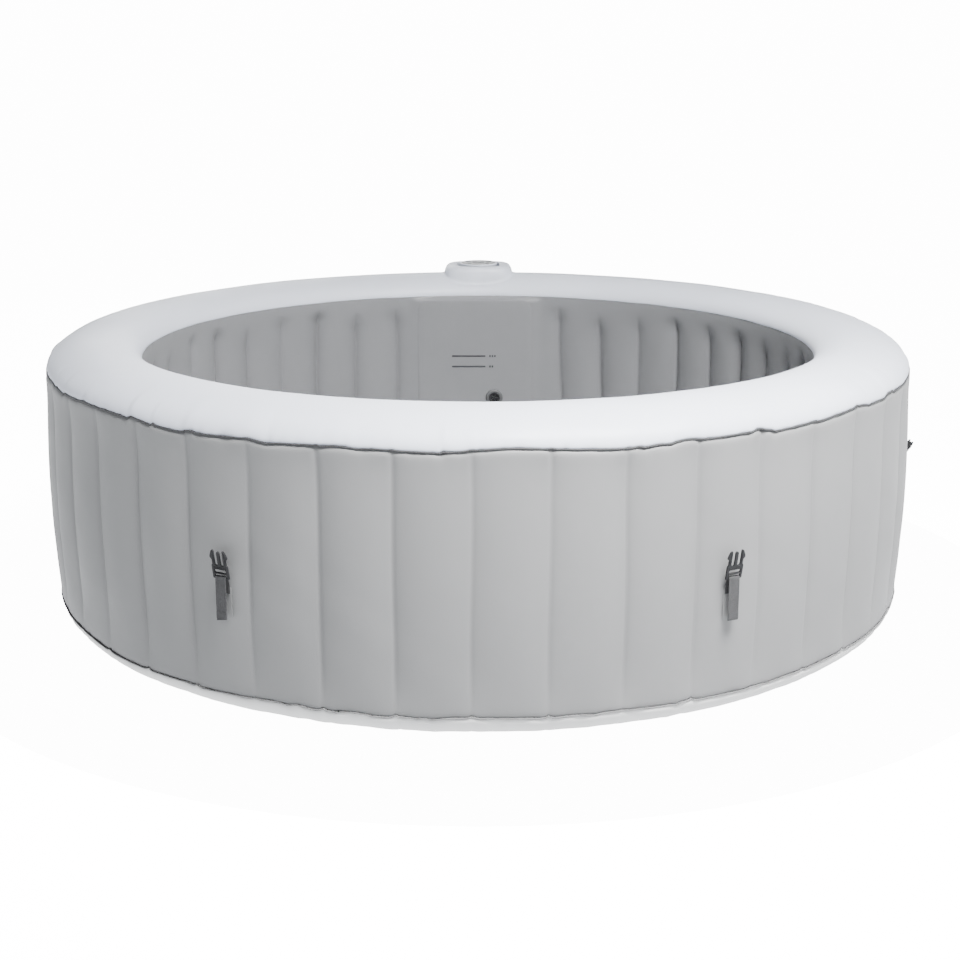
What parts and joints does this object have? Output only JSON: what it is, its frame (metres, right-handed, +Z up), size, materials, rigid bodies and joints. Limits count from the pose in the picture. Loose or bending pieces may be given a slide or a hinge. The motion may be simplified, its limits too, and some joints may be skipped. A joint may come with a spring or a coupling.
{
  "type": "inflatable hot tub",
  "caption": "Round inflatable hot tub with ribbed grey wall, white rim, built-in pump, heater and air blower behind the wall, a control head on the rim and lid-strap buckles.",
  "frame": {"origin": "on the tub's axis, on the ground under its base", "axes": "+Z up, -Y to the front of the tub, +Y to the control head and equipment bay"},
  "size_m": [2.1307, 2.0833, 0.6897],
  "materials": {
    "wall_vinyl": "soft satin laminated vinyl, light grey",
    "inner_vinyl": "soft satin laminated vinyl, mid grey",
    "rim_vinyl": "soft satin laminated vinyl, white",
    "base_vinyl": "coated ground sheet, pale grey",
    "seam_vinyl": "welded edge tape, dark grey",
    "web_fabric": "coated web fabric",
    "grey_plastic": "moulded grey plastic",
    "white_plastic": "moulded white plastic",
    "black_plastic": "moulded black plastic",
    "buckle_plastic": "moulded dark grey acetal",
    "webbing": "woven grey webbing",
    "panel_film": "satin grey overlay film",
    "lens": "dark glossy display lens",
    "steel": "brushed steel",
    "board": "circuit board",
    "filter_paper": "pleated filter paper",
    "hose": "flexible hose"
  },
  "bodies": {
    "tub": {"outer_wall": "wall_vinyl", "inner_wall": "inner_vinyl", "top_rim": "rim_vinyl", "base_panel": "base_vinyl", "floor_panel": "inner_vinyl", "bubble_ring": "inner_vinyl", "wall_webs": "web_fabric", "upper_seam_flange": "seam_vinyl", "lower_seam_flange": "seam_vinyl", "service_panel": "inner_vinyl", "equipment_housing": "grey_plastic", "service_cover": "grey_plastic", "power_inlet": "black_plastic", "blower_housing": "black_plastic", "blower_motor": "steel", "pump_housing": "black_plastic", "pump_motor": "steel", "heater_tube": "steel", "control_board": "board", "return_hose": "hose", "pump_hose": "hose", "air_hose": "hose", "return_fitting": "grey_plastic", "return_grille": "black_plastic", "filter_base": "white_plastic", "filter_cartridge": "filter_paper", "drain_pipe": "grey_plastic", "inflation_valve": "grey_plastic", "control_head": "white_plastic", "control_panel": "panel_film", "display_lens": "lens", "strap_anchor_1": "wall_vinyl", "strap_anchor_2": "wall_vinyl", "strap_anchor_3": "wall_vinyl", "strap_anchor_4": "wall_vinyl", "strap_anchor_5": "wall_vinyl", "strap_anchor_6": "wall_vinyl"},
    "power_button": {"power_button": "grey_plastic"},
    "heat_button": {"heat_button": "grey_plastic"},
    "filter_button": {"filter_button": "grey_plastic"},
    "bubble_button": {"bubble_button": "grey_plastic"},
    "warmer_button": {"warmer_button": "grey_plastic"},
    "cooler_button": {"cooler_button": "grey_plastic"},
    "blower_impeller": {"blower_impeller": "black_plastic"},
    "pump_impeller": {"pump_impeller": "black_plastic"},
    "filter_cap": {"filter_cap": "white_plastic"},
    "drain_cap": {"drain_cap": "grey_plastic"},
    "inflation_valve_cap": {"inflation_valve_cap": "grey_plastic"},
    "buckle_1": {"buckle_1": "buckle_plastic"},
    "strap_tail_1": {"strap_tail_1": "webbing"},
    "buckle_2": {"buckle_2": "buckle_plastic"},
    "strap_tail_2": {"strap_tail_2": "webbing"},
    "buckle_3": {"buckle_3": "buckle_plastic"},
    "strap_tail_3": {"strap_tail_3": "webbing"},
    "buckle_4": {"buckle_4": "buckle_plastic"},
    "strap_tail_4": {"strap_tail_4": "webbing"},
    "buckle_5": {"buckle_5": "buckle_plastic"},
    "strap_tail_5": {"strap_tail_5": "webbing"},
    "buckle_6": {"buckle_6": "buckle_plastic"},
    "strap_tail_6": {"strap_tail_6": "webbing"}
  },
  "joints": [
    {"name": "power_button_press", "type": "slide", "parent": "tub", "child": "power_button", "axis": [0, 0, -1], "range_m": [0, 0.001], "stiffness_N_per_m": 150, "springref_m": -0.002},
    {"name": "heat_button_press", "type": "slide", "parent": "tub", "child": "heat_button", "axis": [0, 0, -1], "range_m": [0, 0.001], "stiffness_N_per_m": 150, "springref_m": -0.002},
    {"name": "filter_button_press", "type": "slide", "parent": "tub", "child": "filter_button", "axis": [0, 0, -1], "range_m": [0, 0.001], "stiffness_N_per_m": 150, "springref_m": -0.002},
    {"name": "bubble_button_press", "type": "slide", "parent": "tub", "child": "bubble_button", "axis": [0, 0, -1], "range_m": [0, 0.001], "stiffness_N_per_m": 150, "springref_m": -0.002},
    {"name": "warmer_button_press", "type": "slide", "parent": "tub", "child": "warmer_button", "axis": [0, 0, -1], "range_m": [0, 0.001], "stiffness_N_per_m": 150, "springref_m": -0.002},
    {"name": "cooler_button_press", "type": "slide", "parent": "tub", "child": "cooler_button", "axis": [0, 0, -1], "range_m": [0, 0.001], "stiffness_N_per_m": 150, "springref_m": -0.002},
    {"name": "blower_impeller_spin", "type": "hinge", "parent": "tub", "child": "blower_impeller", "pos_m": [0, 0.915, 0.455], "axis": [0, 1, 0], "continuous": true},
    {"name": "pump_impeller_spin", "type": "hinge", "parent": "tub", "child": "pump_impeller", "pos_m": [-0.066, 0.875, 0.178], "axis": [0, -1, 0], "continuous": true},
    {"name": "filter_cap_twist", "type": "hinge", "parent": "tub", "child": "filter_cap", "pos_m": [-0.066, 0.69, 0.178], "axis": [0, -1, 0], "range_deg": [0, 60]},
    {"name": "drain_cap_turn", "type": "hinge", "parent": "tub", "child": "drain_cap", "pos_m": [0.37814, 0.96345, 0.105], "axis": [0.3654, 0.9309, 0], "range_deg": [0, 360]},
    {"name": "inflation_valve_cap_turn", "type": "hinge", "parent": "tub", "child": "inflation_valve_cap", "pos_m": [-0.37814, 0.96345, 0.4], "axis": [-0.3654, 0.9309, 0], "range_deg": [0, 360]},
    {"name": "buckle_1_swing", "type": "hinge", "parent": "tub", "child": "buckle_1", "pos_m": [-0.5213, 0.90292, 0.318], "axis": [-0.866, -0.5, 0], "range_deg": [-10, 105]},
    {"name": "strap_tail_1_swing", "type": "hinge", "parent": "tub", "child": "strap_tail_1", "pos_m": [-0.5213, 0.90292, 0.318], "axis": [0.866, 0.5, 0], "range_deg": [0, 90]},
    {"name": "buckle_2_swing", "type": "hinge", "parent": "tub", "child": "buckle_2", "pos_m": [-1.0426, 0, 0.318], "axis": [0, -1, 0], "range_deg": [-10, 105]},
    {"name": "strap_tail_2_swing", "type": "hinge", "parent": "tub", "child": "strap_tail_2", "pos_m": [-1.0426, 0, 0.318], "axis": [0, 1, 0], "range_deg": [0, 90]},
    {"name": "buckle_3_swing", "type": "hinge", "parent": "tub", "child": "buckle_3", "pos_m": [-0.49749, -0.91625, 0.318], "axis": [0.8788, -0.4772, 0], "range_deg": [-10, 105]},
    {"name": "strap_tail_3_swing", "type": "hinge", "parent": "tub", "child": "strap_tail_3", "pos_m": [-0.49749, -0.91625, 0.318], "axis": [-0.8788, 0.4772, 0], "range_deg": [0, 90]},
    {"name": "buckle_4_swing", "type": "hinge", "parent": "tub", "child": "buckle_4", "pos_m": [0.49749, -0.91625, 0.318], "axis": [0.8788, 0.4772, 0], "range_deg": [-10, 105]},
    {"name": "strap_tail_4_swing", "type": "hinge", "parent": "tub", "child": "strap_tail_4", "pos_m": [0.49749, -0.91625, 0.318], "axis": [-0.8788, -0.4772, 0], "range_deg": [0, 90]},
    {"name": "buckle_5_swing", "type": "hinge", "parent": "tub", "child": "buckle_5", "pos_m": [1.0426, 0, 0.318], "axis": [0, 1, 0], "range_deg": [-32, 83]},
    {"name": "strap_tail_5_swing", "type": "hinge", "parent": "tub", "child": "strap_tail_5", "pos_m": [1.0426, 0, 0.318], "axis": [0, -1, 0], "range_deg": [0, 90]},
    {"name": "buckle_6_swing", "type": "hinge", "parent": "tub", "child": "buckle_6", "pos_m": [0.5213, 0.90292, 0.318], "axis": [-0.866, 0.5, 0], "range_deg": [-10, 105]},
    {"name": "strap_tail_6_swing", "type": "hinge", "parent": "tub", "child": "strap_tail_6", "pos_m": [0.5213, 0.90292, 0.318], "axis": [0.866, -0.5, 0], "range_deg": [0, 90]}
  ]
}
